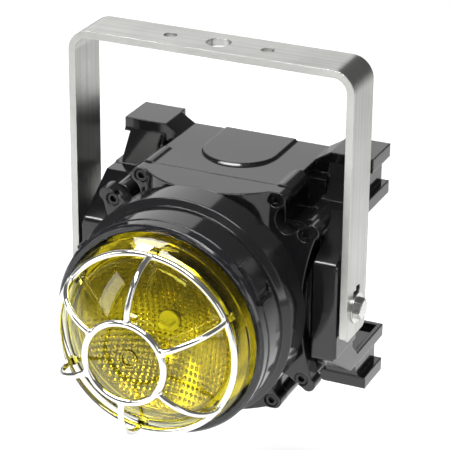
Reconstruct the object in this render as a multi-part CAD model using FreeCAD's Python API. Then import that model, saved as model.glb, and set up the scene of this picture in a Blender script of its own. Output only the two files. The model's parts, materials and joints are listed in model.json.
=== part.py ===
import FreeCAD, Part
import math
import os

# Flameproof-pattern warning beacon on a stainless steel stirrup.
# Millimetres. X is to the right, Y runs from the lens to the back, Z is up.
# The origin is the centre of the stirrup web's upper face, where the beacon is bolted up.

V = FreeCAD.Vector

# ---- stirrup, bent from flat bar -------------------------------------------------
BAR_WIDTH = 35.0
BAR_THICK = 5.0
STIRRUP_WIDTH = 205.0
STIRRUP_DROP = 192.0
BEND_R = 15.0
LEG_CORNER_R = 5.0
WEB_BORE_R = 8.5
WEB_HOLE_R = 4.5
WEB_HOLE_SPACING = 70.0

# ---- pivot: the head swings about X between the two legs ----------------------------
PIVOT_Z = -172.0
BOLT_R = 4.0
PIVOT_BORE_R = 4.05
BOLT_AF = 13.0
BOLT_HEAD = 4.6
BOLT_TURN = 8.6
BOLT_REACH = 80.0
WASHER_R = 10.8
WASHER_THICK = 1.0
PAD_R = 9.5
INSERT_R = 7.0
RUNNING_GAP = 0.1
SLOT_R = 13.0
SLOT_HALF_WIDTH = 3.0
SLOT_HALF_ANGLE = 13.5
STOP_PIN_R = 2.2

# ---- housing -----------------------------------------------------------------------
CORE_HALF = 52.0
HALF_HEIGHT = 80.5
SPLIT_Y = -5.0
BACK_Y = 76.0
FOOT_Y = 81.0
WALL = 7.0
TRAY_Y = 0.0
BOSS_X = 95.5
COLUMN_IN = 78.0
BOSS_FRONT = -17.5
BOSS_BACK = 20.0
ARM_IN = 62.0
ARM_OUT = 93.5
WEB_IN = 65.0
WEB_OUT = 89.0
MID_OUT = 70.0
FLANGE_Y = -17.0
PANEL_Y = 40.0
PANEL_R = 28.0
PANEL_RISE = 1.8
COLUMN_ROUND = 4.0
EAR_SCREWS = [(49.2, 74.8), (70.8, 53.5)]
SCREW_R = 2.5
SCREW_HEAD_R = 4.25
SCREW_HEAD = 5.0

# ---- barrel and lens, all round on an axis a little above the pivot ------------------
LENS_Z = -169.5
BARREL_R = 75.0
COLLAR_R = 79.5
COLLAR_BACK = -34.0
NECK_R = 68.6
NECK_BORE_R = 63.0
BARREL_FRONT = -84.0
SPIGOT_FRONT = -86.0
SPIGOT_R = 71.4
BORE_R = 66.0
LOCK_ANGLES = (24.0, 144.0, 264.0)
LOCK_R = 1.9
LOCK_BACK = -74.8
RING_R = 74.5
RING_FRONT = -92.5
LIP_R = 69.6
LENS_FLANGE_R = 71.0
LENS_WALL_R = 69.2
LENS_THICK = 3.0
LENS_SHOULDER_Y = -98.0
LENS_APEX_Y = -136.0

# ---- wire guard ----------------------------------------------------------------------
WIRE_R = 2.25
SPOKE_R = 2.05
GUARD_R = 63.0
GUARD_Y = -112.0
GUARD_INNER_R = 27.7
GUARD_INNER_Y = -142.4
GUARD_PHASE = 25.8
GUARD_WIRES = 6

# ---- inside ----------------------------------------------------------------------------
HOLDER_R = 6.4
HOLDER_RIM_R = 7.2
WELL_R = 7.6
TUBE_R = 1.6
TUBE_HALF = 3.2
TUBE_FOOT = -70.0
TUBE_TOP = -82.0
BOARD_Y = -40.0
BOARD_R = 58.0
ENTRY_R = 9.25
ENTRY_X = 24.0
ENTRY_Y = 52.0


def box(x0, x1, y0, y1, z0, z1):
    return Part.makeBox(x1 - x0, y1 - y0, z1 - z0, V(x0, y0, z0))


def rod(radius, start, end):
    """A round bar between two points."""
    axis = V(*end) - V(*start)
    return Part.makeCylinder(radius, axis.Length, V(*start), axis)


def tube(outer, inner, start, end):
    return rod(outer, start, end).cut(rod(inner, start, end))


def disc(radius, y0, y1, x=0.0, z=LENS_Z):
    """A round bar along Y."""
    return rod(radius, (x, y0, z), (x, y1, z))


def washer(outer, inner, y0, y1, x=0.0, z=LENS_Z):
    return disc(outer, y0, y1, x, z).cut(disc(inner, y0, y1, x, z))


def mirrored(shape):
    """The other side's copy, across the plane of symmetry X = 0."""
    return shape.mirror(V(0, 0, 0), V(1, 0, 0))


def flipped(shape):
    """The lower copy, across the level of the pivot."""
    return shape.mirror(V(0, 0, PIVOT_Z), V(0, 0, 1))


def pair(shape):
    return [shape, mirrored(shape)]


def outline(steps, place):
    """A closed wire. A step is a point, or ('arc', middle, end) from the last point."""
    edges = []
    last = steps[0]
    for step in steps[1:] + [steps[0]]:
        if step[0] == "arc":
            edges.append(Part.Arc(place(*last), place(*step[1]), place(*step[2])).toShape())
            last = step[2]
        elif place(*last).distanceToPoint(place(*step)) > 1e-6:
            edges.append(Part.makeLine(place(*last), place(*step)))
            last = step
    return Part.Wire(edges)


def eased(before, corner, after, radius):
    """The steps that round the corner of an outline: where the curve starts, and the curve."""
    at = V(*corner, 0)
    back = (V(*before, 0) - at).normalize()
    on = (V(*after, 0) - at).normalize()
    half = back.getAngle(on) / 2
    run = radius / math.tan(half)
    inward = (back + on).normalize()
    middle = at + inward * (radius / math.sin(half) - radius)
    start = at + back * run
    end = at + on * run
    return [(start.x, start.y), ("arc", (middle.x, middle.y), (end.x, end.y))]


def side_plate(steps, x0, x1):
    """A YZ outline drawn as (y, height over the pivot), made solid from x0 to x1."""
    wire = outline(steps, lambda y, h: V(x0, y, PIVOT_Z + h))
    return Part.Face(wire).extrude(V(x1 - x0, 0, 0))


def front_plate(steps, y0, y1):
    """An XZ outline drawn as (x, height over the pivot), made solid from y0 to y1."""
    wire = outline(steps, lambda x, h: V(x, y0, PIVOT_Z + h))
    return Part.Face(wire).extrude(V(0, y1 - y0, 0))


def plan_plate(steps, z0, z1):
    """An XY outline made solid from z0 to z1."""
    wire = outline(steps, lambda x, y: V(x, y, z0))
    return Part.Face(wire).extrude(V(0, 0, z1 - z0))


def turned(steps):
    """A (radius, y) outline turned about the lens axis."""
    face = Part.Face(outline(steps, lambda r, y: V(r, y, LENS_Z)))
    return face.revolve(V(0, 0, LENS_Z), V(0, 1, 0), 360)


def round_box(hx, hz, corner, y0, y1):
    """A block with rounded corners, centred on the pivot's level."""
    block = box(-hx, hx, y0, y1, PIVOT_Z - hz, PIVOT_Z + hz)
    edges = [e for e in block.Edges if abs(e.tangentAt(e.FirstParameter).y) > 0.9]
    return block.makeFillet(corner, edges)


def hexagon(across_flats, x0, x1, y, z):
    """A hexagonal bar along X."""
    radius = across_flats / math.sqrt(3)
    ring = [V(x0, y + radius * math.cos(math.radians(60 * k)),
              z + radius * math.sin(math.radians(60 * k))) for k in range(7)]
    return Part.Face(Part.makePolygon(ring)).extrude(V(x1 - x0, 0, 0))


def screw(x, z, head_y, head, head_r, shank_r, tip_y):
    """A socket head screw along Y, its head towards the lens."""
    body = disc(head_r, head_y, head_y + head, x, z)
    body = body.fuse(disc(shank_r, head_y + head, tip_y, x, z))
    socket = hexagon(head_r * 1.05, 0, head * 0.55, 0, 0)
    socket.rotate(V(0, 0, 0), V(0, 0, 1), 90)
    socket.translate(V(x, head_y, z))
    return body.cut(socket)


def corners(hx, hz):
    return [(sx * hx, PIVOT_Z + sz * hz) for sx in (-1, 1) for sz in (-1, 1)]


def make_stirrup():
    half = STIRRUP_WIDTH / 2
    inner = half - BAR_THICK
    r_in = BEND_R - BAR_THICK
    s = math.sqrt(0.5)
    steps = [
        (-half, -STIRRUP_DROP), (-half, -BEND_R),
        ("arc", (-half + BEND_R * (1 - s), -BEND_R * (1 - s)), (-half + BEND_R, 0)),
        (half - BEND_R, 0),
        ("arc", (half - BEND_R * (1 - s), -BEND_R * (1 - s)), (half, -BEND_R)),
        (half, -STIRRUP_DROP), (inner, -STIRRUP_DROP), (inner, -BEND_R),
        ("arc", (inner - r_in * (1 - s), -BAR_THICK - r_in * (1 - s)), (half - BEND_R, -BAR_THICK)),
        (-half + BEND_R, -BAR_THICK),
        ("arc", (-inner + r_in * (1 - s), -BAR_THICK - r_in * (1 - s)), (-inner, -BEND_R)),
        (-inner, -STIRRUP_DROP),
    ]
    wire = outline(steps, lambda x, z: V(x, -BAR_WIDTH / 2, z))
    bar = Part.Face(wire).extrude(V(0, BAR_WIDTH, 0))
    ends = [e for e in bar.Edges
            if abs(e.CenterOfMass.z + STIRRUP_DROP) < 0.1 and abs(e.Length - BAR_THICK) < 0.1]
    bar = bar.makeFillet(LEG_CORNER_R, ends)
    bar = bar.cut(rod(WEB_BORE_R, (0, 0, 1), (0, 0, -BAR_THICK - 1)))
    for x in (-WEB_HOLE_SPACING / 2, WEB_HOLE_SPACING / 2):
        bar = bar.cut(rod(WEB_HOLE_R, (x, 0, 1), (x, 0, -BAR_THICK - 1)))
    bar = bar.cut(rod(PIVOT_BORE_R, (-half - 1, 0, PIVOT_Z), (half + 1, 0, PIVOT_Z)))
    for slot in pair(stop_slot(inner - 1, half + 1)):
        bar = bar.cut(slot)
    return bar


def stop_slot(x0, x1):
    """The curved slot over the pivot that the stop pin travels in."""
    def at(radius, angle):
        return (radius * math.sin(math.radians(angle)), radius * math.cos(math.radians(angle)))
    wide = SLOT_R + SLOT_HALF_WIDTH
    narrow = SLOT_R - SLOT_HALF_WIDTH
    end = SLOT_HALF_ANGLE
    cap = end + math.degrees(SLOT_HALF_WIDTH / SLOT_R)
    return side_plate([
        at(wide, -end), ("arc", at(wide, 0), at(wide, end)), ("arc", at(SLOT_R, cap), at(narrow, end)),
        ("arc", at(narrow, 0), at(narrow, -end)), ("arc", at(SLOT_R, -cap), at(wide, -end))], x0, x1)


def make_arm():
    """The right arm: an upper and a lower mounting lug, and the pivot boss between them."""
    inner_profile = [
        (FOOT_Y, 87.4), (48, 87.4), (48, 80), (32, 59), (18.5, 59)]
    inner_profile += eased((18.5, 59), (BOSS_FRONT, 35), (BOSS_FRONT, -35), COLUMN_ROUND)
    inner_profile += eased((BOSS_FRONT, 35), (BOSS_FRONT, -35), (18.5, -59), COLUMN_ROUND)
    inner_profile += [(18.5, -59), (32, -59), (48, -80), (48, -87.4), (FOOT_Y, -87.4)]
    mid_cut = [
        (FOOT_Y + 1, 51), (30, 51), (BOSS_BACK, 41), (BOSS_BACK, -41), (30, -51), (FOOT_Y + 1, -51)]
    arm = side_plate(inner_profile, ARM_IN, ARM_OUT)
    waist = [(ARM_IN - 1, BOSS_FRONT - 1), (COLUMN_IN, BOSS_FRONT - 1), (COLUMN_IN, SPLIT_Y), (68, 18.5),
             (ARM_IN - 1, 18.5)]
    arm = arm.cut(plan_plate(waist, PIVOT_Z - 62, PIVOT_Z + 62))
    arm = arm.cut(side_plate(mid_cut, MID_OUT, BOSS_X + 1))
    for spool in (lug_recess(), flipped(lug_recess())):
        arm = arm.cut(spool)
    tray = box(74, 90, 36, FOOT_Y - 4, PIVOT_Z - 54.5, PIVOT_Z - 50)
    arm = arm.cut(tray)
    face = eased((BOSS_FRONT, -35), (BOSS_FRONT, 35), (BOSS_BACK, 35), COLUMN_ROUND)
    face += [(BOSS_BACK, 35), (BOSS_BACK, -35)]
    face += eased((BOSS_BACK, -35), (BOSS_FRONT, -35), (BOSS_FRONT, 35), COLUMN_ROUND)
    boss = side_plate(face, COLUMN_IN, BOSS_X)
    upright = [e for e in boss.Edges
               if abs(e.CenterOfMass.x - BOSS_X) < 0.1 and e.CenterOfMass.y < BOSS_BACK - 1]
    return arm.fuse(boss.makeFillet(1.5, upright))


def lug_recess():
    """What is missing from a lug's outer, inner and rear sides to leave its two flanges."""
    waist = [(20, 78), (FOOT_Y + 1, 78), (FOOT_Y + 1, 60), (20, 60)]
    outer = side_plate(waist, WEB_OUT, ARM_OUT + 1)
    rear = box(MID_OUT, ARM_OUT + 1, FOOT_Y - 3, FOOT_Y + 1, PIVOT_Z + 60, PIVOT_Z + 78)
    inner = side_plate([(20, 78), (48, 78), (36, 60), (20, 60)], ARM_IN - 1, WEB_IN)
    return outer.fuse([rear, inner])


def make_rear_housing():
    core = box(-CORE_HALF, CORE_HALF, SPLIT_Y, BACK_Y, PIVOT_Z - HALF_HEIGHT, PIVOT_Z + HALF_HEIGHT)
    back_edges = [e for e in core.Edges if abs(e.CenterOfMass.y - BACK_Y) < 0.1]
    core = core.makeFillet(2.0, back_edges)
    wide = box(-72, 72, SPLIT_Y, 62, PIVOT_Z - 48, PIVOT_Z + 48)
    neck = box(-ARM_IN - 2, ARM_IN + 2, 36, 70, PIVOT_Z - 72, PIVOT_Z + 72)
    shell = core.fuse([wide, neck] + pair(make_arm()))
    slant = [(51, 80.5), (ARM_IN, 87.4), (64, 87.4), (64, 70), (51, 70)]
    slant = front_plate(slant, 48, BACK_Y - 2)
    shell = shell.fuse(pair(slant) + pair(flipped(slant)))
    for x, h in EAR_SCREWS:
        for sx in (-1, 1):
            for sz in (-1, 1):
                shell = shell.fuse(disc(7.0, SPLIT_Y, 24, sx * x, PIVOT_Z + sz * h))
    ledge = box(-CORE_HALF - 12, CORE_HALF + 12, 10, BACK_Y - 6, PIVOT_Z - 50, PIVOT_Z + 50)
    shell = shell.fuse(ledge).removeSplitter()
    shell = shell.cut(round_box(CORE_HALF - 9, HALF_HEIGHT - 11, 6, SPLIT_Y - 1, BACK_Y - WALL))
    shell = shell.cut(gasket_ring())
    for x, z in corners(36, 62):
        shell = shell.fuse(disc(6, TRAY_Y, BACK_Y - WALL, x, z))
        shell = shell.cut(disc(2.0, TRAY_Y - 1, 14, x, z))
    for x, h in EAR_SCREWS:
        for sx in (-1, 1):
            for sz in (-1, 1):
                shell = shell.cut(disc(SCREW_R, SPLIT_Y - 1, 18, sx * x, PIVOT_Z + sz * h))
    shell = shell.fuse(top_panel())
    floor = PIVOT_Z - HALF_HEIGHT
    for x in (-ENTRY_X, ENTRY_X):
        shell = shell.fuse(rod(14, (x, ENTRY_Y, floor + 1), (x, ENTRY_Y, floor + 16)))
        shell = shell.cut(rod(ENTRY_R, (x, ENTRY_Y, floor - 1), (x, ENTRY_Y, floor + 17)))
    for side in (-1, 1):
        shell = shell.cut(rod(INSERT_R, (side * 79, 0, PIVOT_Z), (side * (BOSS_X + 1), 0, PIVOT_Z)))
        shell = shell.cut(rod(STOP_PIN_R, (side * 86, 0, PIVOT_Z + SLOT_R),
                              (side * (BOSS_X + 1), 0, PIVOT_Z + SLOT_R)))
    for x, z in terminal_feet():
        shell = shell.cut(disc(1.6, BACK_Y - WALL - 1, BACK_Y - 2.5, x, z))
    shell = shell.cut(disc(2.5, BACK_Y - WALL - 1, BACK_Y - 2.5, -26, PIVOT_Z + 34))
    return shell


def top_panel():
    """A low round-nosed panel raised on the top, with sloping sides."""
    top = PIVOT_Z + HALF_HEIGHT
    wires = []
    for half, z in ((PANEL_R + PANEL_RISE, top - PANEL_RISE), (PANEL_R - PANEL_RISE, top + PANEL_RISE)):
        steps = [(-half, BACK_Y - 3), (-half, PANEL_Y), ("arc", (0, PANEL_Y - half), (half, PANEL_Y)),
                 (half, BACK_Y - 3)]
        wires.append(outline(steps, lambda x, y: V(x, y, z)))
    return Part.makeLoft(wires, True, True)


def gasket_ring():
    """The cord groove in the joint face, which the gasket fills."""
    outer = round_box(CORE_HALF - 4.6, HALF_HEIGHT - 6.6, 9, SPLIT_Y, SPLIT_Y + 2.5)
    inner = round_box(CORE_HALF - 7.4, HALF_HEIGHT - 9.4, 6.2, SPLIT_Y, SPLIT_Y + 2.5)
    return outer.cut(inner)


def flange_outline():
    """The front flange, drawn for the top right quarter and mirrored round the pivot's level."""
    quarter = [
        (51.0, 80.5), ("arc", (56.2, 77), (54.6, 70.8)), ("arc", (49.6, 60), (56.5, 51.6)),
        (61, 52.6), (74, 61.4), ("arc", (79.4, 60.4), (78.4, 52)),
        ("arc", (70.6, 18), (69.4, 0))]
    points = [q if q[0] != "arc" else q[2] for q in quarter]
    lower = []
    for here, before in zip(reversed(quarter), reversed([None] + points[:-1])):
        if before is None:
            continue
        goal = (before[0], -before[1])
        lower.append(("arc", (here[1][0], -here[1][1]), goal) if here[0] == "arc" else goal)
    right = quarter + lower
    flat = [q if q[0] != "arc" else q[2] for q in right]
    left = []
    for k in range(len(right) - 1, -1, -1):
        goal = (-flat[k][0], flat[k][1])
        after = right[k + 1] if k + 1 < len(right) else None
        if after is not None and after[0] == "arc":
            left.append(("arc", (-after[1][0], after[1][1]), goal))
        else:
            left.append(goal)
    return right + left


def around(shape, angle):
    """Turned about the lens axis; the angle is counted up from the right, seen from the lens."""
    copy = shape.copy()
    copy.rotate(V(0, 0, LENS_Z), V(0, 1, 0), -angle)
    return copy


def lock_pad():
    """The raised pad over a lock screw, moulded on the barrel."""
    pad = turned([(BARREL_R - 2, -83), (BARREL_R + 1.2, -83), (BARREL_R + 1.2, -66), (BARREL_R - 2, -66)])
    wedge = around(box(60, 90, -84, -65, LENS_Z - 1, LENS_Z + 21), 5)
    return pad.common(wedge)


def lock_screw():
    """A socket grub screw lying along the barrel; it bears on the back of the retaining ring."""
    body = rod(LOCK_R, (BARREL_R + 0.6, BARREL_FRONT, LENS_Z), (BARREL_R + 0.6, LOCK_BACK, LENS_Z))
    socket = rod(LOCK_R * 0.5, (BARREL_R + 0.6, LOCK_BACK - 2, LENS_Z), (BARREL_R + 0.6, LOCK_BACK, LENS_Z))
    return body.cut(socket)


def make_front_housing():
    flange = front_plate(flange_outline(), FLANGE_Y, SPLIT_Y)
    neck_wire = outline(
        [(-50, SPLIT_Y), (-50, -12), ("arc", (0, -36), (50, -12)), (50, SPLIT_Y)],
        lambda x, y: V(x, y, PIVOT_Z - HALF_HEIGHT))
    neck = Part.Face(neck_wire).extrude(V(0, 0, 2 * HALF_HEIGHT))
    barrel = turned([
        (0, -16), (NECK_R, -16), (NECK_R, COLLAR_BACK), (COLLAR_R, COLLAR_BACK),
        (COLLAR_R, -57), (BARREL_R, -61), (BARREL_R, BARREL_FRONT + 0.8), (BARREL_R - 0.8, BARREL_FRONT),
        (SPIGOT_R, BARREL_FRONT), (SPIGOT_R, SPIGOT_FRONT), (0, SPIGOT_FRONT)])
    shell = flange.fuse([neck, barrel] + [around(lock_pad(), a) for a in LOCK_ANGLES]).removeSplitter()
    bore = turned([
        (0, -30), (NECK_BORE_R, -30), (NECK_BORE_R, -38), (BORE_R, -42), (BORE_R, -80),
        (BORE_R + 2, -80), (BORE_R + 2, SPIGOT_FRONT - 1), (0, SPIGOT_FRONT - 1)])
    opening = round_box(CORE_HALF - 9, 60, 8, -31, SPLIT_Y + 1).common(disc(NECK_BORE_R, -31, SPLIT_Y + 1))
    shell = shell.cut(bore).cut(opening)
    groove = rod(LOCK_R, (BARREL_R + 0.6, BARREL_FRONT - 1, LENS_Z), (BARREL_R + 0.6, -66, LENS_Z))
    dimple = rod(2.8, (BARREL_R - 2.5, -68.5, LENS_Z), (BARREL_R + 3, -68.5, LENS_Z))
    for angle in LOCK_ANGLES:
        shell = shell.cut([around(groove, angle), around(dimple, angle + 4)])
    for x, h in EAR_SCREWS:
        for sx in (-1, 1):
            for sz in (-1, 1):
                place = (sx * x, PIVOT_Z + sz * h)
                shell = shell.cut(disc(SCREW_HEAD_R + 0.6, -60 if h > 60 else FLANGE_Y - 1,
                                       FLANGE_Y + SCREW_HEAD + 0.5, *place))
                shell = shell.cut(disc(SCREW_R + 0.2, FLANGE_Y, SPLIT_Y + 1, *place))
    return shell


def make_cover_screws():
    out = []
    for x, h in EAR_SCREWS:
        for sx in (-1, 1):
            for sz in (-1, 1):
                out.append(screw(sx * x, PIVOT_Z + sz * h, FLANGE_Y + 0.5, SCREW_HEAD,
                                 SCREW_HEAD_R, SCREW_R, 17))
    return out


def make_pivot_bolt():
    face = STIRRUP_WIDTH / 2 + RUNNING_GAP + WASHER_THICK
    head = hexagon(BOLT_AF, face, face + BOLT_HEAD, 0, PIVOT_Z)
    head.rotate(V(0, 0, PIVOT_Z), V(1, 0, 0), BOLT_TURN)
    crown = Part.makeCone(BOLT_AF / 2 + 3.4, BOLT_AF / 2 - 0.6, 2.4, V(face + BOLT_HEAD - 2.4, 0, PIVOT_Z),
                          V(1, 0, 0))
    blank = rod(BOLT_AF, (face, 0, PIVOT_Z), (face + BOLT_HEAD - 2.4, 0, PIVOT_Z))
    head = head.common(blank.fuse(crown))
    return head.fuse(rod(BOLT_R, (BOLT_REACH, 0, PIVOT_Z), (face, 0, PIVOT_Z)))


def along_x(outer, inner, x0, x1, z=PIVOT_Z):
    return tube(outer, inner, (x0, 0, z), (x1, 0, z))


def make_retaining_ring():
    return turned([
        (RING_R, BARREL_FRONT), (RING_R, RING_FRONT + 1.6), (RING_R - 1.6, RING_FRONT),
        (LIP_R, RING_FRONT), (LIP_R, RING_FRONT + 2), (SPIGOT_R, RING_FRONT + 2),
        (SPIGOT_R, BARREL_FRONT)])


def dome_radius(y, apex):
    """Radius of the sphere cap that runs from the lens shoulder to its apex."""
    rise = LENS_SHOULDER_Y - LENS_APEX_Y
    edge = LENS_WALL_R - 1.2
    sphere = (edge ** 2 + rise ** 2) / (2 * rise)
    sag = y - apex
    return math.sqrt(max(0.0, 2 * sphere * sag - sag ** 2))


def make_lens():
    edge = LENS_WALL_R - 1.2
    in_apex = LENS_APEX_Y + LENS_THICK
    in_shoulder = LENS_SHOULDER_Y + 2.0
    mid_y = (LENS_APEX_Y + LENS_SHOULDER_Y) / 2
    shell = turned([
        (LENS_FLANGE_R, -87.5), (LENS_FLANGE_R, -90.5), (LENS_WALL_R, -90.5), (edge, LENS_SHOULDER_Y),
        ("arc", (dome_radius(mid_y, LENS_APEX_Y), mid_y), (0, LENS_APEX_Y)), (0, in_apex),
        ("arc", (dome_radius(mid_y, in_apex) * 0.985, mid_y), (edge - LENS_THICK, in_shoulder)),
        (LENS_WALL_R - LENS_THICK, -87.5)])
    pip = turned([(6.5, LENS_APEX_Y + 1.2), (6.5, LENS_APEX_Y - 0.8), (4.5, LENS_APEX_Y - 0.8),
                  (4.5, LENS_APEX_Y + 1.2)])
    shell = shell.fuse(pip)
    seat_y = GUARD_Y + WIRE_R
    for k in range(GUARD_WIRES):
        seat = box(54, GUARD_R + 2.0, seat_y, LENS_SHOULDER_Y - 1, LENS_Z - 2.5, LENS_Z + 2.5)
        shell = shell.fuse(around(seat, GUARD_PHASE + k * 360 / GUARD_WIRES))
    hollow = turned([
        (0, -86), (LENS_WALL_R - LENS_THICK, -86), (LENS_WALL_R - LENS_THICK, -87.5),
        (edge - LENS_THICK, in_shoulder),
        ("arc", (dome_radius(mid_y, in_apex) * 0.985, mid_y), (0, in_apex))])
    return shell.cut(hollow)


def guard_ring(radius, y):
    return Part.makeTorus(radius, WIRE_R, V(0, y, LENS_Z), V(0, 1, 0))


def make_guard_wire(index):
    """A wire that leaves the outer ring forwards and curves in to the inner ring."""
    bend = GUARD_Y - GUARD_INNER_Y
    centre_r = GUARD_R - bend
    s = math.sqrt(0.5)
    start = V(GUARD_R, GUARD_Y, LENS_Z)
    corner = V(centre_r, GUARD_INNER_Y, LENS_Z)
    curve = Part.Arc(start, V(centre_r + bend * s, GUARD_Y - bend * s, LENS_Z), corner).toShape()
    straight = Part.makeLine(corner, V(GUARD_INNER_R, GUARD_INNER_Y, LENS_Z))
    section = Part.Wire(Part.Circle(start, V(0, -1, 0), SPOKE_R).toShape())
    wire = Part.Wire([curve, straight]).makePipeShell([section], True, False)
    wire = wire.cut([guard_ring(GUARD_R, GUARD_Y), guard_ring(GUARD_INNER_R, GUARD_INNER_Y)])
    wire = max(wire.Solids, key=lambda s: s.Volume)
    return around(wire, GUARD_PHASE + index * 360 / GUARD_WIRES)


def make_reflector():
    dish = turned([
        (BORE_R + 1.6, -80), (BORE_R + 1.6, -82), (58, -82), (58, -97), (56.8, -98.4), (55.6, -97.6),
        ("arc", (40, -81.5), (WELL_R, -74)), (WELL_R, -72), ("arc", (41, -79.5), (56, -93.4)), (56, -80)])
    return dish


def make_lamp_holder():
    base = disc(HOLDER_R, -72, BOARD_Y - 1.6)
    collar = disc(HOLDER_RIM_R, -76, -74)
    collar = collar.fuse(disc(HOLDER_R, -74, -72))
    wells = [disc(TUBE_R + 0.1, -77, TUBE_FOOT, x) for x in (-TUBE_HALF, TUBE_HALF)]
    return base.fuse(collar).removeSplitter().cut(wells)


def make_flash_tube():
    """A U-shaped discharge tube standing in the holder."""
    left, right = V(-TUBE_HALF, TUBE_FOOT, LENS_Z), V(TUBE_HALF, TUBE_FOOT, LENS_Z)
    left_top, right_top = V(-TUBE_HALF, TUBE_TOP, LENS_Z), V(TUBE_HALF, TUBE_TOP, LENS_Z)
    leg_a = Part.makeLine(left, left_top)
    top = Part.Arc(left_top, V(0, TUBE_TOP - TUBE_HALF, LENS_Z), right_top).toShape()
    leg_b = Part.makeLine(right_top, right)
    section = Part.Wire(Part.Circle(left, V(0, -1, 0), TUBE_R).toShape())
    return Part.Wire([leg_a, top, leg_b]).makePipeShell([section], True, False)


def make_board():
    board = disc(BOARD_R, BOARD_Y - 1.6, BOARD_Y)
    for x, z in corners(30, 30):
        board = board.cut(disc(1.6, BOARD_Y - 2, BOARD_Y + 1, x, z))
    return board


def make_tray():
    tray = round_box(42, 68.5, 5, TRAY_Y - 2, TRAY_Y)
    for x, z in corners(36, 62):
        tray = tray.cut(disc(2.2, TRAY_Y - 3, TRAY_Y + 1, x, z))
    for x, z in corners(30, 30):
        tray = tray.cut(disc(1.6, TRAY_Y - 3, TRAY_Y + 1, x, z))
    return tray.cut(box(-12, 12, TRAY_Y - 3, TRAY_Y + 1, PIVOT_Z - 60, PIVOT_Z - 42))


def make_standoff(x, z):
    body = disc(3.5, BOARD_Y, TRAY_Y - 2, x, z)
    return body.cut(disc(1.5, BOARD_Y, TRAY_Y - 2, x, z))


def make_capacitors():
    out = []
    for x in (-22, 22):
        can = disc(11, BOARD_Y, -8, x, PIVOT_Z + 24 + 20)
        out.append(can)
    return out


def make_transformer():
    core = box(-17, 17, BOARD_Y, -12, PIVOT_Z - 12, PIVOT_Z + 18)
    windows = [box(x, x + 5, BOARD_Y + 5, -17, PIVOT_Z - 13, PIVOT_Z + 19) for x in (-12, 7)]
    return core.cut(windows)


def make_winding():
    coil = box(-12, 12, BOARD_Y + 5, -17, PIVOT_Z - 16, PIVOT_Z + 22)
    return coil.cut(box(-7, 7, BOARD_Y + 4, -16, PIVOT_Z - 13, PIVOT_Z + 19))


def terminal_feet():
    return [(-30, PIVOT_Z - 34), (30, PIVOT_Z - 34)]


def make_terminal_block():
    back = BACK_Y - WALL
    block = box(-36, 36, back - 16, back, PIVOT_Z - 42, PIVOT_Z - 26)
    for k in range(6):
        x = -22.5 + 9 * k
        block = block.cut(box(x - 3, x + 3, back - 10, back - 4, PIVOT_Z - 43, PIVOT_Z - 36))
        block = block.cut(disc(2.0, back - 17, back - 10, x, PIVOT_Z - 32))
    for x, z in terminal_feet():
        block = block.cut(disc(1.6, back - 17, back + 1, x, z))
    return block


def make_terminal_screws():
    back = BACK_Y - WALL
    return [disc(2.0, back - 14.5, back - 10, -22.5 + 9 * k, PIVOT_Z - 32) for k in range(6)]


def make_terminal_fixings():
    back = BACK_Y - WALL
    return [disc(2.6, back - 18, back - 16, x, z).fuse(disc(1.6, back - 16, BACK_Y - 3, x, z))
            for x, z in terminal_feet()]


def make_entry_plug():
    floor = PIVOT_Z - HALF_HEIGHT
    head = rod(12.5, (-ENTRY_X, ENTRY_Y, floor - 6.5), (-ENTRY_X, ENTRY_Y, floor - 1.5))
    body = rod(ENTRY_R, (-ENTRY_X, ENTRY_Y, floor - 1.5), (-ENTRY_X, ENTRY_Y, floor + 12))
    key = Part.makeBox(8, 8, 4, V(-ENTRY_X - 4, ENTRY_Y - 4, floor - 7.5))
    return head.fuse(body).cut(key)


def make_entry_seal():
    floor = PIVOT_Z - HALF_HEIGHT
    return tube(12.0, ENTRY_R, (-ENTRY_X, ENTRY_Y, floor - 1.5), (-ENTRY_X, ENTRY_Y, floor))


def save(name, shapes):
    shape = Part.makeCompound(shapes) if isinstance(shapes, list) else shapes
    shape.exportStep("parts/%s.step" % name)
    print(name, len(shape.Solids), "valid" if shape.isValid() else "INVALID", round(shape.Volume))


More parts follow.
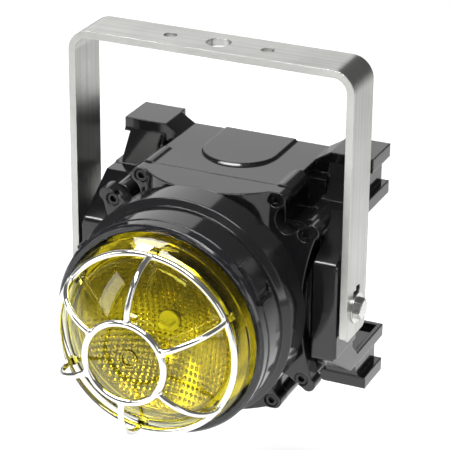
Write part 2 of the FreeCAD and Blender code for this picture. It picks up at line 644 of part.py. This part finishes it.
def main():
    os.makedirs("parts", exist_ok=True)
    leg = STIRRUP_WIDTH / 2
    washer_x = leg + RUNNING_GAP
    back = BACK_Y - WALL

    save("stirrup", make_stirrup())
    save("rear_housing", make_rear_housing())
    save("front_housing", make_front_housing())
    save("housing_gasket", gasket_ring())
    save("cover_screws", make_cover_screws())

    save("pivot_bolts", pair(make_pivot_bolt()))
    save("plain_washers", pair(along_x(WASHER_R, BOLT_R + 0.25, washer_x, washer_x + WASHER_THICK)))
    save("friction_pads", pair(along_x(PAD_R, BOLT_R + 0.2, BOSS_X, leg - BAR_THICK - RUNNING_GAP)))
    save("threaded_inserts", pair(along_x(INSERT_R, BOLT_R, 79, BOSS_X)))
    save("stop_pins", pair(rod(STOP_PIN_R, (86, 0, PIVOT_Z + SLOT_R), (leg - 1.2, 0, PIVOT_Z + SLOT_R))))

    save("retaining_ring", make_retaining_ring())
    save("ring_lock_screws", [around(lock_screw(), a) for a in LOCK_ANGLES])
    save("lens_gasket", washer(LENS_FLANGE_R, BORE_R + 2, -87.5, SPIGOT_FRONT))
    save("lens", make_lens())
    save("guard_outer_ring", guard_ring(GUARD_R, GUARD_Y))
    save("guard_inner_ring", guard_ring(GUARD_INNER_R, GUARD_INNER_Y))
    for index in range(GUARD_WIRES):
        save("guard_wire_%d" % (index + 1), make_guard_wire(index))

    save("reflector", make_reflector())
    save("lamp_holder", make_lamp_holder())
    save("flash_tube", make_flash_tube())
    save("control_board", make_board())
    save("board_standoffs", [make_standoff(x, z) for x, z in corners(30, 30)])
    save("board_screws", [screw(x, z, BOARD_Y - 4.1, 2.5, 2.75, 1.5, -30) for x, z in corners(30, 30)])
    save("storage_capacitors", make_capacitors())
    save("transformer_core", make_transformer())
    save("transformer_winding", make_winding())
    save("trigger_coil", disc(6, -54, BOARD_Y - 1.6, 0, PIVOT_Z - 34))
    save("gear_tray", make_tray())
    save("tray_screws", [screw(x, z, TRAY_Y - 5, 3, 3.5, 2.0, 12) for x, z in corners(36, 62)])
    save("terminal_block", make_terminal_block())
    save("terminal_screws", make_terminal_screws())
    save("terminal_fixings", make_terminal_fixings())
    save("earth_stud", disc(2.5, back - 16, BACK_Y - 3, -26, PIVOT_Z + 34))
    save("earth_nuts", [washer(4.6, 2.5, y, y + 3.5, -26, PIVOT_Z + 34) for y in (back - 12, back - 5)])
    save("entry_plug", make_entry_plug())
    save("entry_seal", make_entry_seal())


main()
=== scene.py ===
# %% [markdown]
# # A warning beacon on a stainless stirrup
# The beacon is a black moulded housing with a round yellow lens under a wire guard. It hangs by two
# bolts from a bent flat bar. The shapes with real sizes were drawn in CAD, and this lesson dresses them:
# it gives each piece a finish, adds the pieces that need a finer shape, and lights the whole.

# %% Load the CAD frame
import bmesh
import bpy
import json
import math
from mathutils import Matrix, Vector


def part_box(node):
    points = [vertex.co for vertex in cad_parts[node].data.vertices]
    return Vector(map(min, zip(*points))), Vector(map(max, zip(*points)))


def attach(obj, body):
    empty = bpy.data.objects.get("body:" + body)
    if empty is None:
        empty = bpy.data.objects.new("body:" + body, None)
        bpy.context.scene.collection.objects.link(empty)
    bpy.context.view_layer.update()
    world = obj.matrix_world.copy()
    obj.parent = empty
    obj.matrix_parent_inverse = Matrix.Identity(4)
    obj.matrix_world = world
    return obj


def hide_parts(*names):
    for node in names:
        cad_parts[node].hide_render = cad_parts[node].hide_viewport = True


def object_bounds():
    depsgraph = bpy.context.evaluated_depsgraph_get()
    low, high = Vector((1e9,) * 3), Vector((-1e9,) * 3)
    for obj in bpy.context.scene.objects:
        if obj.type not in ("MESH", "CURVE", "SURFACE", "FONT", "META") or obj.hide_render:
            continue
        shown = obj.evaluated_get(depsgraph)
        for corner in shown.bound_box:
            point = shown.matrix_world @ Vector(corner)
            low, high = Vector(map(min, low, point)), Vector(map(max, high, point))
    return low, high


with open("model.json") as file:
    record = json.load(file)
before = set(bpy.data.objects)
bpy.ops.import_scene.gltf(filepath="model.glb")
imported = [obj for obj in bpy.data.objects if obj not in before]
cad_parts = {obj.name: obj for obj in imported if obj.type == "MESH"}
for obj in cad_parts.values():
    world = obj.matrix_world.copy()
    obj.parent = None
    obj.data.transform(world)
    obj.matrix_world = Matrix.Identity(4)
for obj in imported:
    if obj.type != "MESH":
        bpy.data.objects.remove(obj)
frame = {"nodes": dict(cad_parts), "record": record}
cad_low, cad_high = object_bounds()
nodes = frame["nodes"]
print("CAD nodes:", len(nodes), "box:", tuple(cad_low), tuple(cad_high))

# %% [markdown]
# ## Where things are
# Every later piece takes its place from the CAD. The lens, the barrel and the guard are round about one axis
# along Y, so the middle of the guard ring's box is on that axis. Most lengths are easiest to think of in
# millimetres.

# %% The lens axis and a millimetre
MM = 0.001
ring_low, ring_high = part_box("guard_outer_ring")
AXIS_Z = (ring_low.z + ring_high.z) / 2
AXIS = Vector((0.0, 0.0, AXIS_Z))
print("lens axis height", round(AXIS_Z / MM, 2), "mm")

# %% [markdown]
# ## Shader maths that reads like arithmetic
# A material is a chain of nodes. Writing each Math node by hand hides the idea, so `Field` wraps a socket
# and turns `mask * 0.4 + 0.1` into the nodes that do it. `Finish` starts a material, and its `node` method
# makes any other node: settings first, then values or links.

# %% Field: a socket that can be added and multiplied
class Field:
    def __init__(self, finish, socket):
        self.finish = finish
        self.socket = socket

    def maths(self, operation, first, second=0.0):
        return self.finish.node("ShaderNodeMath", {"operation": operation}, {0: first, 1: second})

    def __add__(self, other):
        return self.maths("ADD", self, other)

    def __sub__(self, other):
        return self.maths("SUBTRACT", self, other)

    def __rsub__(self, other):
        return self.maths("SUBTRACT", other, self)

    def __mul__(self, other):
        return self.maths("MULTIPLY", self, other)

    __radd__ = __add__
    __rmul__ = __mul__

    def clamped(self):
        return self.finish.node("ShaderNodeClamp", {}, {"Value": self})


# %% [markdown]
# `Finish` holds one material. Its small methods name the steps that come back in every recipe: where a
# point is, a noise there, a ramp between two values, a mix of two colours, a bump, and the rounded normal
# that the Bevel node gives.

# %% Finish: one material and the nodes in it
class Finish:
    def __init__(self, name):
        self.material = bpy.data.materials.new(name)
        self.material.use_nodes = True
        self.tree = self.material.node_tree
        self.shader = next(n for n in self.tree.nodes if n.type == "BSDF_PRINCIPLED")
        print("finish", name)

    def put(self, socket, value):
        if isinstance(value, Field):
            self.tree.links.new(value.socket, socket)
        elif hasattr(value, "__len__") and len(value) == 3 and len(socket.default_value) == 4:
            socket.default_value = (*value, 1.0)
        else:
            socket.default_value = value

    def node(self, kind, settings, inputs, out=0):
        made = self.tree.nodes.new(kind)
        for key, value in settings.items():
            setattr(made, key, value)
        for key, value in inputs.items():
            self.put(made.inputs[key], value)
        return Field(self, made.outputs[out])

    def set(self, **values):
        """Puts values or fields on the shader's sockets; base_color means Base Color."""
        for key, value in values.items():
            self.put(self.shader.inputs[SOCKETS[key]], value)
        return self.material

    def point(self):
        return self.node("ShaderNodeTexCoord", {}, {}, "Object")

    def stretched(self, point, scale):
        return self.node("ShaderNodeVectorMath", {"operation": "MULTIPLY"}, {0: point, 1: scale})

    def noise(self, point, scale, detail=3.0, roughness=0.5):
        return self.node("ShaderNodeTexNoise", {}, {
            "Vector": point, "Scale": scale, "Detail": detail, "Roughness": roughness}, "Fac")

    def between(self, field, low, high):
        """0 below low, 1 above high, and a straight run between."""
        return self.node("ShaderNodeMapRange", {"clamp": True}, {
            "Value": field, "From Min": low, "From Max": high})

    def mixed(self, share, first, second):
        return self.node("ShaderNodeMix", {"data_type": "RGBA"}, {0: share, 6: first, 7: second}, 2)

    def part_of(self, point, axis):
        return self.node("ShaderNodeSeparateXYZ", {}, {0: point}, axis)

    def rounded(self, radius):
        """The normal as if every sharp edge had this radius, and where those edges are."""
        normal = self.node("ShaderNodeBevel", {"samples": 6}, {"Radius": radius})
        flat = self.node("ShaderNodeNewGeometry", {}, {}, "Normal")
        likeness = self.node(
            "ShaderNodeVectorMath", {"operation": "DOT_PRODUCT"}, {0: normal, 1: flat}, "Value")
        return normal, 1.0 - likeness

    def bump(self, height, strength, depth, normal=None):
        inputs = {"Height": height, "Strength": strength, "Distance": depth}
        if normal is not None:
            inputs["Normal"] = normal
        return self.node("ShaderNodeBump", {}, inputs)


SOCKETS = {
    "base_color": "Base Color", "metallic": "Metallic", "roughness": "Roughness", "normal": "Normal",
    "ior": "IOR", "specular": "Specular IOR Level", "transmission": "Transmission Weight",
    "emission_color": "Emission Color", "emission": "Emission Strength"}

# %% [markdown]
# ## Black moulded polyester
# The housing is pressed from glass-filled polyester, so it is glossy but not perfect: a faint orange peel,
# soft smears where it was handled, and edges that a mould leaves round and that go grey with rubbing. On the
# lens ring the same edge colour is nearly white: a painted highlight along its edges.
# The Bevel node rounds the edges for the light without touching the CAD mesh, and comparing its normal
# with the plain one tells where the edges are.

# %% The housing's finish
def moulded_black(name, base, rub_and_edge_glint, gloss, edge_radius):
    f = Finish(name)
    point = f.point()
    normal, edge = f.rounded(edge_radius)
    smear = f.between(f.noise(point, 26.0, 5.0, 0.62), 0.42, 0.72)
    specks = f.between(f.noise(point, 900.0, 2.0), 0.66, 0.74)
    chafe_and_glint_noise = f.between(f.noise(point, 160.0, 4.0, 0.6), 0.45, 0.7)
    rubbed_and_glint_mask = (edge * 3.0 * chafe_and_glint_noise).clamped()
    # Edges are mixed towards the rub colour: grey wear on the housing, and a near-white painted highlight on
    # the ring.
    tone = f.mixed(rubbed_and_glint_mask * 0.7, base, rub_and_edge_glint)
    tone = f.mixed(specks * 0.05, tone, (0.12, 0.12, 0.12))
    peel = f.noise(point, 420.0, 2.0) * 0.7 + f.noise(point, 70.0, 2.0) * 1.6
    return f.set(
        base_color=tone,
        roughness=gloss + smear * 0.07 + rubbed_and_glint_mask * 0.18 + specks * 0.05,
        normal=f.bump(peel, 0.12, 0.00004, normal))


POLYESTER = moulded_black("housing_polyester", (0.0085, 0.0085, 0.0092), (0.06, 0.06, 0.063), 0.09, 0.0018)
# The ring's pale rub colour paints a highlight line along the ring's edges.
RING_PLASTIC = moulded_black("ring_plastic", (0.009, 0.009, 0.011), (0.6, 0.6, 0.62), 0.07, 0.0012)

# %% [markdown]
# ## Stainless flat bar
# Flat bar comes from the mill with a satin grain that runs along it. The bar is bent in the XZ plane, so
# the grain never changes direction across its width, which is Y: noise that is stretched a lot along X and
# Z, and hardly along Y, gives hair lines that follow the bar round its bends. A second noise, five times
# coarser, gives the few broad streaks that can be seen from further away. Handling leaves faint clouds.
# The edges are mixed towards near-white, a painted highlight. The bolts use the same recipe with an even
# grain.

# %% The stirrup's finish
def satin_steel(name, base, dull, roughness, grain, edge_radius):
    f = Finish(name)
    point = f.point()
    normal, edge = f.rounded(edge_radius)
    hairs = f.noise(f.stretched(point, grain), 1.0, 4.0, 0.7)
    fine = f.noise(f.stretched(point, tuple(3.1 * g for g in grain)), 1.0, 2.0, 0.6)
    clouds = f.between(f.noise(point, 21.0, 4.0, 0.6), 0.35, 0.75)
    tone = f.mixed(clouds * 0.5, base, dull)
    # Edges are mixed towards near-white: a painted highlight along every edge of the bar and bolts.
    tone = f.mixed((edge * 2.0).clamped() * 0.6, tone, (0.86, 0.86, 0.84))
    tone = f.mixed(f.between(hairs, 0.48, 0.7) * 0.3, tone, dull)
    streaks = f.between(f.noise(f.stretched(point, tuple(0.2 * g for g in grain)), 1.0, 3.0, 0.6), 0.45, 0.62)
    tone = f.mixed(streaks * 0.26, tone, tuple(0.72 * d for d in dull))
    return f.set(
        base_color=tone, metallic=1.0,
        roughness=roughness + hairs * 0.16 + clouds * 0.06 + streaks * 0.05 - (edge * 1.5).clamped() * 0.08,
        normal=f.bump(hairs * 0.7 + fine * 0.3, 0.1, 0.00005, normal))


BAR_GRAIN = (14.0, 1500.0, 14.0)
BOLT_GRAIN = (300.0, 300.0, 300.0)
BAR_STEEL = satin_steel("bar_stainless", (0.5, 0.5, 0.48), (0.38, 0.38, 0.365), 0.2, BAR_GRAIN, 0.0006)
BOLT_STEEL = satin_steel("fastener_stainless", (0.66, 0.66, 0.64), (0.52, 0.52, 0.5), 0.17, BOLT_GRAIN, 0.0004)

# %% [markdown]
# ## Polished guard wire
# The guard is drawn wire, polished after it is welded. It needs very little: nearly a mirror, with draw
# lines too fine to see one by one.

# %% The guard's finish
def polished_wire(name):
    f = Finish(name)
    point = f.point()
    waves = f.noise(point, 120.0, 3.0)
    scuffs = f.between(f.noise(point, 700.0, 3.0), 0.56, 0.7)
    tone = f.mixed(waves * 0.25, (0.84, 0.84, 0.81), (0.7, 0.7, 0.67))
    return f.set(base_color=tone, metallic=1.0, roughness=0.07 + scuffs * 0.1 + waves * 0.05,
                 normal=f.bump(waves, 0.08, 0.0001))


GUARD_WIRE = polished_wire("guard_wire")

# %% [markdown]
# ## Yellow lens
# The lens is clear yellow glass. Real refraction is worth its cost here, because the bent view of the
# reflector is most of what is seen. The tint sits in Base Color. It is paler than the lens looks, because
# light crosses a glass face four times on its way to the dish and back. A slow waviness in the normal is
# what pressed glass has.

# %% The lens finish
def pressed_glass(name, tint, deeper, ior, waviness):
    f = Finish(name)
    point = f.point()
    waves = f.noise(point, 38.0, 2.0)
    streaks = f.between(f.noise(point, 15.0, 3.0), 0.35, 0.7)
    return f.set(
        base_color=f.mixed(streaks * 0.6, tint, deeper), transmission=1.0, ior=ior,
        roughness=f.between(f.noise(point, 90.0, 3.0), 0.5, 0.8) * 0.03,
        normal=f.bump(waves, waviness, 0.0006))


LENS_GLASS = pressed_glass("lens_yellow_glass", (0.83, 0.79, 0.13), (0.74, 0.67, 0.09), 1.39, 0.05)

# %% [markdown]
# ## Metallised reflector
# Bright metal evaporated on a moulded dish. The dimples are geometry; the finish only adds dust and a painted
# shade.
# The upper half of the dish is painted darker and browner, a painted shade: the height over the lens axis,
# made uneven by a noise, drives that. The rim's painted shade is weaker, so the rim stays lighter.

# %% The reflector's finish
def metallised(name, shaded_top_tone):
    f = Finish(name)
    point = f.point()
    ripple = f.noise(point, 150.0, 2.0)
    dust = f.between(f.noise(point, 1200.0, 2.0), 0.68, 0.74)
    shade_border_noise = f.between(f.noise(point, 22.0, 4.0, 0.6), 0.42, 0.66)
    height = f.part_of(point, 2) + shade_border_noise * 0.016
    # The upper part of the dish fades to the darker top tone: painted shade.
    top_shade_mask = f.between(height, AXIS_Z - 0.022, AXIS_Z + 0.03)
    tone = f.mixed(top_shade_mask, (0.68, 0.64, 0.56), shaded_top_tone)
    tone = f.mixed(dust * 0.4, tone, (0.3, 0.28, 0.24))
    return f.set(base_color=tone, metallic=1.0, roughness=0.14 + dust * 0.3 + ripple * 0.08,
                 normal=f.bump(ripple, 0.2, 0.0002))


# The brown upper tone of each dish is painted shade.
REFLECTOR_METAL = metallised("reflector_metallised", (0.17, 0.145, 0.105))
RIM_METAL = metallised("reflector_rim_metallised", (0.52, 0.48, 0.4))

# %% [markdown]
# ## The quieter finishes
# Rubber, brass, ceramic, board, paint and plastic are seen through holes or when the parts are taken
# apart. One recipe serves them all: two tones mixed by a noise of the right size, a roughness that
# follows it, and a little bump.

# %% A recipe for plain finishes
def plain(name, first, second, size, roughness, metallic=0.0, grit=0.1, edge_radius=0.0003):
    f = Finish(name)
    point = f.point()
    normal, edge = f.rounded(edge_radius)
    patches = f.between(f.noise(point, size, 4.0, 0.6), 0.35, 0.7)
    grain = f.noise(point, size * 14.0, 2.0)
    # Edges are pulled towards mid grey: a painted edge highlight on dark finishes and painted edge shade on
    # pale ones.
    edge_highlight_share = (edge * 2.0).clamped() * 0.25
    tone = f.mixed(edge_highlight_share, f.mixed(patches, first, second), (0.5, 0.5, 0.48))
    return f.set(base_color=tone, metallic=metallic, roughness=roughness + patches * 0.1 + grain * 0.06,
                 normal=f.bump(grain, grit, 0.00006, normal))


SEAL_RUBBER = plain("seal_rubber", (0.022, 0.022, 0.022), (0.035, 0.034, 0.033), 90.0, 0.62, grit=0.3)
BRASS = plain("turned_brass", (0.72, 0.52, 0.2), (0.6, 0.41, 0.15), 130.0, 0.24, metallic=1.0)
CERAMIC = plain("lamp_ceramic", (0.92, 0.92, 0.86), (0.86, 0.85, 0.78), 60.0, 0.28)
TUBE_GLASS = plain("tube_opal_glass", (0.94, 0.94, 0.9), (0.88, 0.88, 0.84), 40.0, 0.12)
CAN_SLEEVE = plain("capacitor_sleeve", (0.02, 0.03, 0.09), (0.03, 0.045, 0.12), 70.0, 0.3)
CORE_STEEL = plain("core_laminations", (0.14, 0.14, 0.15), (0.08, 0.08, 0.085), 240.0, 0.45, metallic=0.7)
WINDING = plain("enamelled_copper", (0.5, 0.19, 0.07), (0.38, 0.13, 0.05), 300.0, 0.3, metallic=0.8, grit=0.4)
TRAY_METAL = plain("tray_aluminium", (0.76, 0.76, 0.77), (0.68, 0.68, 0.69), 45.0, 0.34, metallic=1.0)
TERMINAL = plain("terminal_plastic", (0.7, 0.69, 0.64), (0.62, 0.61, 0.56), 80.0, 0.5)

# %% [markdown]
# The cover screws are blackened, so the sockets only show as a small point of light in a dark recess.

# %% Blackened screws
BLACK_SCREW = plain("blackened_screw", (0.03, 0.03, 0.032), (0.05, 0.048, 0.046), 180.0, 0.24, metallic=0.9)

# %% [markdown]
# The control board is green resist over copper tracks. The tracks come from a brick pattern, whose
# mortar lines stand for the gaps between copper areas.

# %% The board's finish
def solder_resist(name):
    f = Finish(name)
    point = f.point()
    flat = f.node("ShaderNodeMapping", {}, {"Vector": point, "Rotation": (math.radians(90.0), 0.0, 0.0)})
    tracks = f.node("ShaderNodeTexBrick", {"offset": 0.37, "squash": 0.6}, {
        "Vector": flat, "Color1": (1.0, 1.0, 1.0), "Color2": (0.6, 0.6, 0.6), "Mortar": (0.0, 0.0, 0.0),
        "Scale": 150.0, "Mortar Size": 0.035, "Brick Width": 0.9, "Row Height": 0.3}, "Fac")
    tone = f.mixed(tracks, (0.012, 0.16, 0.05), (0.006, 0.07, 0.025))
    return f.set(base_color=tone, roughness=0.3 + tracks * 0.15, normal=f.bump(1.0 - tracks, 0.3, 0.0001))


BOARD_RESIST = solder_resist("board_resist")

# %% [markdown]
# ## Dress the CAD nodes
# The record already says which material slot each node has, so one table from slot to finish dresses
# them all. The nodes stay where they are; only their material changes.

# %% Slots to finishes
FINISHES = {
    "stainless": BAR_STEEL, "housing": POLYESTER, "seal": SEAL_RUBBER, "fastener": BOLT_STEEL,
    "brass": BRASS, "lens": LENS_GLASS, "guard": GUARD_WIRE, "reflector": REFLECTOR_METAL,
    "ceramic": CERAMIC, "tube_glass": TUBE_GLASS, "board": BOARD_RESIST, "can": CAN_SLEEVE,
    "core_steel": CORE_STEEL, "winding": WINDING, "tray": TRAY_METAL, "terminal_plastic": TERMINAL}


def dress(obj, material):
    obj.data.materials.clear()
    obj.data.materials.append(material)


for sub in frame["record"]["subparts"]:
    dress(nodes[sub["node"]], FINISHES[sub["material_slot"]])
dress(nodes["retaining_ring"], RING_PLASTIC)
for name in ("cover_screws", "ring_lock_screws"):
    dress(nodes[name], BLACK_SCREW)

# %% [markdown]
# ## Turning a bmesh into a piece
# Every new piece ends the same way: doubles merged, faces turned outwards, smooth where the shape is
# smooth, a finish, and the body it moves with.

# %% Finish a piece
def piece(name, bm, material, body, stands_for=(), crease=35.0):
    bmesh.ops.remove_doubles(bm, verts=bm.verts, dist=2e-6)
    bmesh.ops.recalc_face_normals(bm, faces=bm.faces)
    for edge in bm.edges:
        edge.smooth = len(edge.link_faces) == 2 and edge.calc_face_angle() < math.radians(crease)
    for face in bm.faces:
        face.smooth = True
    mesh = bpy.data.meshes.new(name)
    bm.to_mesh(mesh)
    bm.free()
    obj = bpy.data.objects.new(name, mesh)
    bpy.context.scene.collection.objects.link(obj)
    dress(obj, material)
    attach(obj, body)
    if stands_for:
        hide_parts(*stands_for)
    print("piece", name, len(mesh.polygons), "faces")
    return obj


# %% [markdown]
# ## The dimpled reflector
# A flash reflector is moulded as a dish covered in small dimples, each a tiny mirror, so that the light
# spreads evenly. Dimples are a height over the dish: a shallow round cap in the middle of each square cell.
# A square grid of points that follows this height is simple and cheap. Its ragged border
# ends inside the rim, which is one profile spun about the lens axis.

# %% Sizes of the dish
dish_low, dish_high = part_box("reflector")
front_y = dish_low.y / MM
back_y = dish_high.y / MM
RIM_R, WELL_R = 54.2, 7.6
DIMPLE = 3.9
DIMPLE_RISE = 0.7
CAP_SHARE = 0.36
CELL_STEPS = 8


def dish_depth(radius):
    """How far forward the dish has come at this radius: a parabola from the well to the rim."""
    share = (radius - WELL_R) / (RIM_R - WELL_R)
    return (back_y - 2.0) + (front_y + 3.0 - (back_y - 2.0)) * max(share, 0.0) ** 1.7


def dimple_height(x, z):
    """A round cap in the middle of each cell, and flat land round it."""
    u = (x / DIMPLE + 0.5) % 1.0 - 0.5
    v = (z / DIMPLE + 0.5) % 1.0 - 0.5
    return DIMPLE_RISE * max(0.0, 1.0 - (u * u + v * v) / CAP_SHARE ** 2)


# %% [markdown]
# The face is made first. Points are stored by their row and column, so a face is made wherever four
# neighbours exist, and the outline takes care of itself.

# %% The dimpled face
def spin_round(bm, steps):
    """Spins all edges a full turn about the lens axis."""
    bmesh.ops.spin(bm, geom=bm.verts[:] + bm.edges[:], cent=AXIS, axis=(0.0, 1.0, 0.0),
                   angle=math.tau, steps=steps, use_merge=True, use_duplicate=False)


def closed_line(bm, points):
    """A closed chain of edges in the plane through the lens axis; points are (radius, y) in millimetres."""
    verts = [bm.verts.new((r * MM, y * MM, AXIS_Z)) for r, y in points]
    for a, b in zip(verts, verts[1:] + verts[:1]):
        bm.edges.new((a, b))


bm = bmesh.new()
reach = int((RIM_R + 1.2) / DIMPLE * CELL_STEPS)
step = DIMPLE / CELL_STEPS
grid = {}
for i in range(-reach, reach + 1):
    for j in range(-reach, reach + 1):
        x, z = i * step, j * step
        radius = math.hypot(x, z)
        if WELL_R - 0.8 < radius < RIM_R + 1.2:
            y = dish_depth(radius) - dimple_height(x, z)
            grid[i, j] = bm.verts.new((x * MM, y * MM, AXIS_Z + z * MM))
for i, j in list(grid):
    ring = [grid.get(key) for key in ((i, j), (i + 1, j), (i + 1, j + 1), (i, j + 1))]
    if None not in ring:
        bm.faces.new(ring)
for vert in [v for v in bm.verts if not v.link_faces]:
    bm.verts.remove(vert)
piece("reflector_dimples", bm, REFLECTOR_METAL, "head", crease=14.0)

# %% [markdown]
# The rest of the reflector is one closed outline, spun: two fine rolled lines at the mouth, the wall down
# to the flange that is clamped in the barrel, and a thin backing that follows the dish behind the dimples.

# %% The rim, the back and the well's edge
bm = bmesh.new()
steps = [RIM_R, 48.0, 40.0, 32.0, 24.0, 16.0, WELL_R + 1.0]
back_line = [(r, dish_depth(r) + 2.4) for r in steps]
front_line = [(r, dish_depth(r) + 1.4) for r in reversed(steps)]
rim_line = [(RIM_R, front_y + 1.5), (55.2, front_y + 2.2), (56.0, front_y), (57.0, front_y),
            (58.0, front_y + 1.2)]
foot_line = [(58.0, -82.0), (67.4, -82.0), (67.4, -80.0), (56.8, -80.0), (56.8, back_line[0][1])]
closed_line(bm, rim_line + foot_line + back_line + front_line)
spin_round(bm, 96)
piece("reflector_dish", bm, RIM_METAL, "head", ("reflector",), crease=30.0)

# %% [markdown]
# ## Weld beads on the guard
# Each guard wire is resistance-welded to the two rings, which squeezes out a small collar of metal. A
# squashed ball at each joint is enough; bmesh makes twelve of them in one mesh.

# %% Place the beads
WIRE_R = (ring_high.y - ring_low.y) / 2
GUARD_R = (ring_high.x - ring_low.x) / 2 - WIRE_R
inner_low, inner_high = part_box("guard_inner_ring")
INNER_R = (inner_high.x - inner_low.x) / 2 - WIRE_R
OUTER_Y = (ring_low.y + ring_high.y) / 2
INNER_Y = (inner_low.y + inner_high.y) / 2


def wire_angle(index):
    """The direction of a guard wire, from the middle of its CAD box."""
    low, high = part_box("guard_wire_%d" % index)
    middle = (low + high) / 2 - AXIS
    return math.atan2(middle.z, middle.x)


bm = bmesh.new()
for index in range(1, 7):
    turn = Matrix.Translation(AXIS) @ Matrix.Rotation(-wire_angle(index), 4, "Y")
    for radius, y, push in ((GUARD_R, OUTER_Y, (0.0, -1.5, 0.0)), (INNER_R, INNER_Y, (1.5, 0.0, 0.0))):
        place = Vector((radius, y, 0.0)) + Vector(push) * MM
        bead = Matrix.Translation(place) @ Matrix.Diagonal((1.0, 0.84, 1.3, 1.0))
        bmesh.ops.create_uvsphere(bm, u_segments=20, v_segments=12, radius=1.17 * WIRE_R, matrix=turn @ bead)
piece("guard_weld_beads", bm, GUARD_WIRE, "head")

# %% [markdown]
# ## Floor, light and world
# A white floor fills the view behind the object and also lights it from below, which is what gives black
# gloss its grey underside. Above, a few soft boxes in a dim room leave clear shapes in the reflections.

# %% The floor
bm = bmesh.new()
bmesh.ops.create_grid(bm, x_segments=2, y_segments=2, size=14.0)
bmesh.ops.translate(bm, verts=bm.verts, vec=(0.0, 0.0, cad_low.z - 0.16))
floor_mesh = bpy.data.meshes.new("floor")
bm.to_mesh(floor_mesh)
bm.free()
floor = bpy.data.objects.new("floor", floor_mesh)
bpy.context.scene.collection.objects.link(floor)
floor_finish = Finish("floor_paper")
paper = floor_finish.noise(floor_finish.point(), 3.0)
dress(floor, floor_finish.set(
    base_color=floor_finish.mixed(paper, (0.93, 0.93, 0.93), (0.95, 0.95, 0.95)), roughness=0.9, specular=0.1,
    emission_color=(0.9, 0.9, 0.9), emission=0.28))

# %% [markdown]
# Black gloss is drawn by what it mirrors. A long strip overhead lights the lens rim, a big dim box behind
# gives the flat top its even grey, and two narrow boxes put a line of light down the sides. Each lamp is
# hidden from the camera.

# %% Soft boxes
CENTRE = (cad_low + cad_high) / 2


def soft_box(name, offset, size, radiance, colour=(1.0, 1.0, 1.0)):
    """A rectangular lamp that faces the object; its power follows from how bright its face should look."""
    data = bpy.data.lights.new(name, "AREA")
    data.shape = "RECTANGLE"
    data.size, data.size_y = size
    data.energy = radiance * math.pi * size[0] * size[1]
    data.color = colour
    lamp = bpy.data.objects.new(name, data)
    bpy.context.scene.collection.objects.link(lamp)
    lamp.location = CENTRE + Vector(offset)
    lamp.rotation_mode = "QUATERNION"
    lamp.rotation_quaternion = Vector(offset).to_track_quat("Z", "Y")
    lamp.visible_camera = False
    return lamp


soft_box("overhead", (-0.2, -0.6, 1.5), (2.0, 0.36), 24.0)
soft_box("back_left", (-1.05, 1.75, 0.75), (1.5, 1.3), 1.15)
soft_box("front_left", (-1.5, -1.1, 0.55), (0.5, 1.1), 5.0)
soft_box("front_right", (1.6, -0.9, 0.35), (0.35, 1.0), 3.0)

# The lens has two boxes to itself, so that its highlights do not wash over the black housing.
only_lens = bpy.data.collections.new("lens_lighting")
only_lens.objects.link(nodes["lens"])
for lamp in (soft_box("lens_top", (-0.25, 0.55, 1.5), (2.4, 1.5), 19.0, (1.0, 0.93, 0.9)),
             soft_box("lens_face", (-0.62, -1.5, 0.2), (0.36, 0.3), 26.0, (1.0, 0.86, 0.95))):
    lamp.light_linking.receiver_collection = only_lens

# %% [markdown]
# The room is nearly dark to reflections, which keeps the black housing black. Only the camera sees it white,
# so the background is clean. A Light Path node tells the two cases apart.

# %% The room
world = bpy.data.worlds.new("room")
bpy.context.scene.world = world
world.use_nodes = True
tree = world.node_tree
tree.nodes.clear()
seen = tree.nodes.new("ShaderNodeBackground")
seen.inputs["Color"].default_value = (1.0, 1.0, 1.0, 1.0)
unseen = tree.nodes.new("ShaderNodeBackground")
unseen.inputs["Color"].default_value = (1.0, 1.0, 1.0, 1.0)
unseen.inputs["Strength"].default_value = 0.14
path = tree.nodes.new("ShaderNodeLightPath")
mix = tree.nodes.new("ShaderNodeMixShader")
out = tree.nodes.new("ShaderNodeOutputWorld")
tree.links.new(path.outputs["Is Camera Ray"], mix.inputs[0])
tree.links.new(unseen.outputs[0], mix.inputs[1])
tree.links.new(seen.outputs[0], mix.inputs[2])
tree.links.new(mix.outputs[0], out.inputs["Surface"])
bpy.context.scene.view_settings.view_transform = "Standard"

# %% [markdown]
# ## Camera
# A long lens from a little above and to the right. Its place is given as a direction from a target inside
# the object, with a slight roll, so that the same numbers can be read as a photographer would say them.

# %% Place the camera
AZIMUTH, ELEVATION, ROLL = math.radians(24.016), math.radians(24.021), math.radians(0.54)
TARGET = Vector((2.582, 7.041, -133.465)) * MM
DISTANCE = 1490.48 * MM
FOCAL = 174.54
back = Vector((math.sin(AZIMUTH) * math.cos(ELEVATION), -math.cos(AZIMUTH) * math.cos(ELEVATION),
               math.sin(ELEVATION)))
level = Vector((math.cos(AZIMUTH), math.sin(AZIMUTH), 0.0))
upright = back.cross(level)
right = level * math.cos(ROLL) + upright * math.sin(ROLL)
up = upright * math.cos(ROLL) - level * math.sin(ROLL)
camera_data = bpy.data.cameras.new("camera")
camera_data.lens = FOCAL
camera_data.sensor_width = 36.0
camera_data.clip_end = 60.0
camera = bpy.data.objects.new("camera", camera_data)
bpy.context.scene.collection.objects.link(camera)
turn = Matrix((right, up, back)).transposed().to_4x4()
camera.matrix_world = Matrix.Translation(TARGET + back * DISTANCE) @ turn
bpy.context.scene.camera = camera
